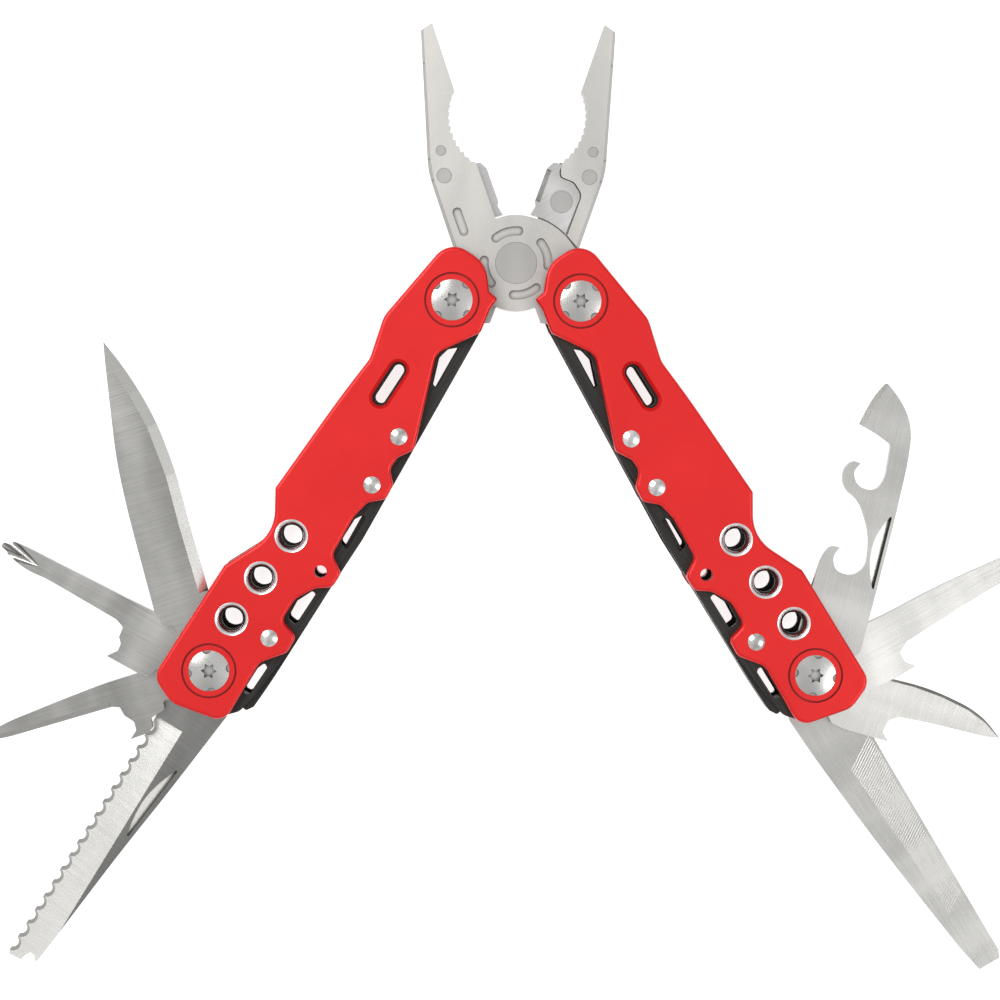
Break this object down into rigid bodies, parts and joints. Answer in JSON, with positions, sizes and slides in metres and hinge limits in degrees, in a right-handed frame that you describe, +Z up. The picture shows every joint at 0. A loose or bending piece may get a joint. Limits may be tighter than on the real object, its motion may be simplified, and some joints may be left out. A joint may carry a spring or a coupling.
{
  "type": "folding multi tool",
  "caption": "Folding multi tool: needle-nose pliers on two red channel handles that fold over the jaws, each holding folding blades, drivers and openers.",
  "frame": {"origin": "middle of the object's footprint, on the surface it lies on", "axes": "+Z up out of the front scales, +Y out through the open jaws, +X across to the right handle"},
  "size_m": [0.2114, 0.1916, 0.0172],
  "materials": {
    "red_anodised": "satin red anodised",
    "black_steel": "black oxide, satin",
    "blasted_steel": "bead-blasted",
    "turned_steel": "lathe-turned",
    "ground_steel": "ground and polished stainless"
  },
  "bodies": {
    "left_jaw": {"left_hub_plate": "blasted_steel", "left_jaw_plate": "blasted_steel", "left_cutter": "blasted_steel", "left_cutter_rivet": "blasted_steel", "left_jaw_pins": "blasted_steel", "pliers_pivot": "blasted_steel"},
    "right_jaw": {"right_hub_plate": "blasted_steel", "right_jaw_plate": "blasted_steel", "right_cutter": "blasted_steel", "right_cutter_rivet": "blasted_steel", "right_jaw_pins": "blasted_steel"},
    "left_handle": {"left_front_scale": "red_anodised", "left_back_scale": "red_anodised", "left_front_liner": "black_steel", "left_back_liner": "black_steel", "left_front_rivets": "turned_steel", "left_back_rivets": "turned_steel", "left_spring_rivet": "turned_steel", "left_jaw_post_screw": "turned_steel", "left_jaw_post_nut": "turned_steel", "left_tool_post_screw": "turned_steel", "left_tool_post_nut": "turned_steel", "left_spring_1": "black_steel", "left_spring_2": "black_steel", "left_spring_3": "black_steel", "left_spring_4": "black_steel", "left_stop_pin": "black_steel", "left_tool_washers": "turned_steel", "left_jaw_spacers": "black_steel"},
    "right_handle": {"right_front_scale": "red_anodised", "right_back_scale": "red_anodised", "right_front_liner": "black_steel", "right_back_liner": "black_steel", "right_front_rivets": "turned_steel", "right_back_rivets": "turned_steel", "right_spring_rivet": "turned_steel", "right_jaw_post_screw": "turned_steel", "right_jaw_post_nut": "turned_steel", "right_tool_post_screw": "turned_steel", "right_tool_post_nut": "turned_steel", "right_spring_1": "black_steel", "right_spring_2": "black_steel", "right_spring_3": "black_steel", "right_spring_4": "black_steel", "right_stop_pin": "black_steel", "right_tool_washers": "turned_steel", "right_jaw_spacers": "black_steel"},
    "knife": {"knife": "ground_steel"},
    "phillips_driver": {"phillips_driver": "ground_steel"},
    "awl": {"awl": "ground_steel"},
    "scaler": {"scaler": "ground_steel"},
    "can_opener": {"can_opener": "ground_steel"},
    "flat_driver": {"flat_driver": "ground_steel"},
    "small_blade": {"small_blade": "ground_steel"},
    "file": {"file": "ground_steel"}
  },
  "joints": [
    {"name": "plier_pivot", "type": "hinge", "parent": "left_jaw", "child": "right_jaw", "pos_m": [0.0021, 0.04795, 0.0086], "axis": [0, 0, 1], "range_deg": [0, 39.5]},
    {"name": "left_handle_fold", "type": "hinge", "parent": "right_jaw", "child": "left_handle", "pos_m": [-0.01077, 0.04026, 0.0086], "axis": [0, 0, -1], "range_deg": [0, 167]},
    {"name": "right_handle_fold", "type": "hinge", "parent": "left_jaw", "child": "right_handle", "pos_m": [0.01497, 0.04026, 0.0086], "axis": [0, 0, 1], "range_deg": [0, 167]},
    {"name": "knife_hinge", "type": "hinge", "parent": "left_handle", "child": "knife", "pos_m": [-0.05879, -0.0344, 0.0086], "axis": [0, 0, -1], "range_deg": [-128.8, 51.2]},
    {"name": "phillips_driver_hinge", "type": "hinge", "parent": "left_handle", "child": "phillips_driver", "pos_m": [-0.05879, -0.0344, 0.0086], "axis": [0, 0, -1], "range_deg": [-87.3, 95.7]},
    {"name": "awl_hinge", "type": "hinge", "parent": "left_handle", "child": "awl", "pos_m": [-0.05879, -0.0344, 0.0086], "axis": [0, 0, -1], "range_deg": [-39.6, 143.4]},
    {"name": "scaler_hinge", "type": "hinge", "parent": "left_handle", "child": "scaler", "pos_m": [-0.05879, -0.0344, 0.0086], "axis": [0, 0, -1], "range_deg": [-2.3, 177.7]},
    {"name": "can_opener_hinge", "type": "hinge", "parent": "right_handle", "child": "can_opener", "pos_m": [0.06299, -0.0344, 0.0086], "axis": [0, 0, 1], "range_deg": [-133.8, 46.2]},
    {"name": "flat_driver_hinge", "type": "hinge", "parent": "right_handle", "child": "flat_driver", "pos_m": [0.06299, -0.0344, 0.0086], "axis": [0, 0, 1], "range_deg": [-85.9, 97.1]},
    {"name": "small_blade_hinge", "type": "hinge", "parent": "right_handle", "child": "small_blade", "pos_m": [0.06299, -0.0344, 0.0086], "axis": [0, 0, 1], "range_deg": [-38.8, 144.2]},
    {"name": "file_hinge", "type": "hinge", "parent": "right_handle", "child": "file", "pos_m": [0.06299, -0.0344, 0.0086], "axis": [0, 0, 1], "range_deg": [0, 180.3]}
  ]
}
